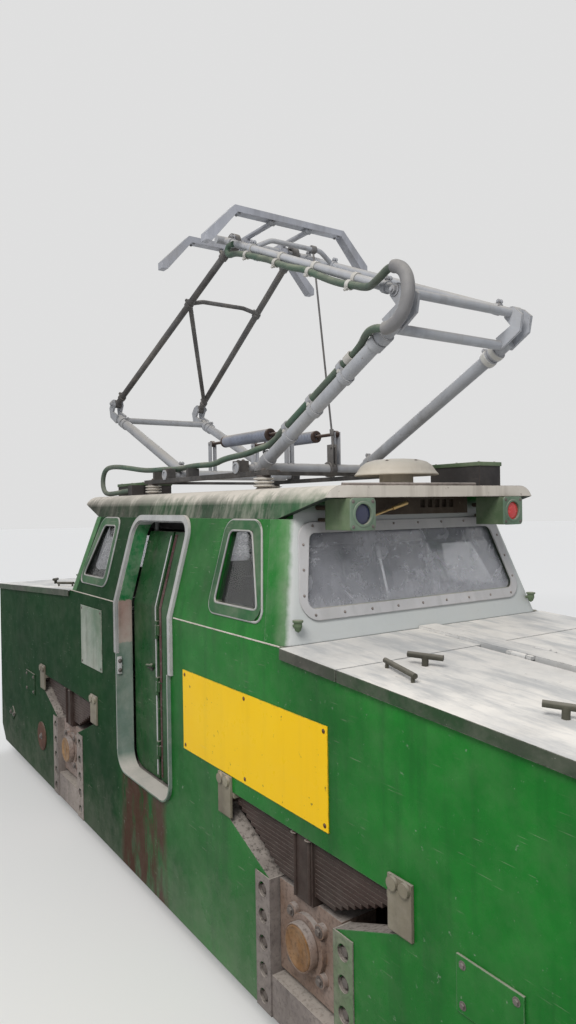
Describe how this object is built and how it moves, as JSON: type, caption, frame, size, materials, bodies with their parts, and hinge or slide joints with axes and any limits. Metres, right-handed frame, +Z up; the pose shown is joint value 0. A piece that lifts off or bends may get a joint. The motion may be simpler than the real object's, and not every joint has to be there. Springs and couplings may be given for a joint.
{
  "type": "narrow-gauge electric mine locomotive",
  "caption": "Low narrow-gauge electric locomotive with a small central cab, sloping hoods with hinged lids, folding side doors, outside leaf springs and a diamond pantograph.",
  "frame": {"origin": "middle of the locomotive, level with the lowest point of the wheel flanges", "axes": "+X to the front, +Y to the left, +Z up"},
  "size_m": [5.3, 1.182, 2.7886],
  "materials": {
    "green_paint": "satin, dusty, streaked",
    "beige_paint": "matte, dust covered",
    "grey_trim": "satin, worn",
    "door_paint": "satin",
    "black_steel": "matte",
    "floor_plate": "matte, worn",
    "wheel_steel": "rolled, rusty",
    "cast_box": "rough, dusty",
    "spring_steel": "dusty steel",
    "arm_paint": "matte, dusty",
    "bare_rail": "worn",
    "porcelain": "glazed",
    "dome_paint": "matte",
    "glass": "dusty",
    "lens": "coloured",
    "sign_yellow": "satin, blank",
    "seat_cover": "worn",
    "desk_grey": "satin",
    "cable_green": "matte"
  },
  "bodies": {
    "locomotive": {"axle_boxes": "cast_box", "brake_gear": "black_steel", "cab_floor": "floor_plate", "cab_front": "green_paint", "cab_rear": "green_paint", "cab_roof": "beige_paint", "cab_side_left": "green_paint", "cab_side_right": "green_paint", "controllers": "desk_grey", "corner_knobs": "grey_trim", "couplers": "black_steel", "cross_members": "black_steel", "decks": "black_steel", "door_frames": "grey_trim", "door_runners": "grey_trim", "door_trims": "grey_trim", "end_beams": "green_paint", "frame_lugs": "green_paint", "hood_tops": "beige_paint", "horn_guides": "grey_trim", "insulators": "porcelain", "lamp_boxes": "green_paint", "lamp_lenses": "lens", "leaf_springs": "spring_steel", "motors": "black_steel", "pantograph_base": "arm_paint", "power_cable_roof": "cable_green", "roof_boxes": "black_steel", "roof_dome": "dome_paint", "seats": "seat_cover", "side_covers": "green_paint", "side_frame_left": "green_paint", "side_frame_right": "green_paint", "sign_plates": "sign_yellow", "spring_hangers": "green_paint", "visor_panels": "beige_paint", "window_frames": "grey_trim", "windows": "glass"},
    "wheelset_front": {"wheelset_front": "wheel_steel"},
    "wheelset_rear": {"wheelset_rear": "wheel_steel"},
    "lid_front_right": {"lid_front_right": "beige_paint"},
    "lid_front_left": {"lid_front_left": "beige_paint"},
    "lid_rear_right": {"lid_rear_right": "beige_paint"},
    "lid_rear_left": {"lid_rear_left": "beige_paint"},
    "door_rear_leaf_right": {"door_rear_leaf_right": "door_paint"},
    "door_front_leaf_right": {"door_front_leaf_right": "door_paint"},
    "door_rear_leaf_left": {"door_rear_leaf_left": "door_paint"},
    "door_front_leaf_left": {"door_front_leaf_left": "door_paint"},
    "front_lower": {"front_lower_frame": "arm_paint", "cable_clamps": "arm_paint", "power_cable_arm": "cable_green", "power_cable_turn": "cable_green"},
    "front_upper": {"front_upper_frame": "arm_paint", "power_cable_upper": "cable_green", "power_cable_knuckle": "cable_green"},
    "rear_lower": {"rear_lower_frame": "arm_paint"},
    "rear_upper": {"rear_upper_frame": "arm_paint"},
    "pan": {"pan_head": "bare_rail"},
    "spring_rods": {"spring_rods": "spring_steel"},
    "spring_coils": {"spring_coils": "spring_steel"}
  },
  "joints": [
    {"name": "front_wheels_roll", "type": "hinge", "parent": "locomotive", "child": "wheelset_front", "pos_m": [1.04, 0, 0.375], "axis": [0, 1, 0], "continuous": true},
    {"name": "rear_wheels_roll", "type": "hinge", "parent": "locomotive", "child": "wheelset_rear", "pos_m": [-1.04, 0, 0.375], "axis": [0, 1, 0], "continuous": true},
    {"name": "lid_front_right", "type": "hinge", "parent": "locomotive", "child": "lid_front_right", "pos_m": [1.76488, -0.052, 1.1575], "axis": [-0.9984, 0, 0.0569], "range_deg": [0, 70]},
    {"name": "lid_front_left", "type": "hinge", "parent": "locomotive", "child": "lid_front_left", "pos_m": [1.76488, 0.052, 1.1575], "axis": [0.9984, 0, -0.0569], "range_deg": [0, 70]},
    {"name": "lid_rear_right", "type": "hinge", "parent": "locomotive", "child": "lid_rear_right", "pos_m": [-1.76488, -0.052, 1.1575], "axis": [-0.9984, 0, -0.0569], "range_deg": [0, 70]},
    {"name": "lid_rear_left", "type": "hinge", "parent": "locomotive", "child": "lid_rear_left", "pos_m": [-1.76488, 0.052, 1.1575], "axis": [0.9984, 0, 0.0569], "range_deg": [0, 70]},
    {"name": "door_right", "type": "hinge", "parent": "locomotive", "child": "door_rear_leaf_right", "pos_m": [-0.312, -0.385, 1], "axis": [0, 0, 1], "range_deg": [0, 85]},
    {"name": "door_right_fold", "type": "hinge", "parent": "door_rear_leaf_right", "child": "door_front_leaf_right", "pos_m": [-0.051, -0.51, 1], "axis": [0, 0, 1], "range_deg": [-171, 0]},
    {"name": "door_left", "type": "hinge", "parent": "locomotive", "child": "door_rear_leaf_left", "pos_m": [-0.312, 0.385, 1], "axis": [0, 0, -1], "range_deg": [0, 85]},
    {"name": "door_left_fold", "type": "hinge", "parent": "door_rear_leaf_left", "child": "door_front_leaf_left", "pos_m": [-0.051, 0.51, 1], "axis": [0, 0, -1], "range_deg": [-171, 0]},
    {"name": "pantograph", "type": "hinge", "parent": "locomotive", "child": "front_lower", "pos_m": [0.34, 0, 1.75], "axis": [0, 1, 0], "range_deg": [-20, 21], "deforming": ["power_cable_turn"]},
    {"name": "front_knuckle", "type": "hinge", "parent": "front_lower", "child": "front_upper", "pos_m": [1.13288, 0, 2.22641], "axis": [0, 1, 0], "range_deg": [-39, 37], "deforming": ["power_cable_knuckle"]},
    {"name": "pan_level", "type": "hinge", "parent": "front_upper", "child": "pan", "pos_m": [-0.00393, 0, 2.72664], "axis": [0, 1, 0], "range_deg": [-17, 18]},
    {"name": "rear_shaft", "type": "hinge", "parent": "locomotive", "child": "rear_lower", "pos_m": [-0.29, 0, 1.75], "axis": [0, 1, 0], "range_deg": [-21.2, 20.2]},
    {"name": "rear_knuckle", "type": "hinge", "parent": "rear_lower", "child": "rear_upper", "pos_m": [-1.11418, 0, 2.16994], "axis": [0, 1, 0], "range_deg": [-37, 39]},
    {"name": "spring_rod_eye", "type": "hinge", "parent": "front_lower", "child": "spring_rods", "pos_m": [0.34, 0, 1.895], "axis": [0, 1, 0], "range_deg": [-21.2, 20.2]},
    {"name": "spring_coil_eye", "type": "hinge", "parent": "rear_lower", "child": "spring_coils", "pos_m": [-0.29, 0, 1.895], "axis": [0, 1, 0], "range_deg": [-20.2, 21.2]}
  ],
  "couplings": [
    {"joint": "door_right_fold", "follows": "door_right", "ratio": -2},
    {"joint": "door_left_fold", "follows": "door_left", "ratio": -2},
    {"joint": "front_knuckle", "follows": "pantograph", "ratio": -1.844},
    {"joint": "pan_level", "follows": "pantograph", "ratio": 0.844},
    {"joint": "rear_shaft", "follows": "pantograph", "ratio": -1},
    {"joint": "rear_knuckle", "follows": "pantograph", "ratio": 1.844},
    {"joint": "spring_rod_eye", "follows": "pantograph", "ratio": -1},
    {"joint": "spring_coil_eye", "follows": "pantograph", "ratio": 1}
  ]
}
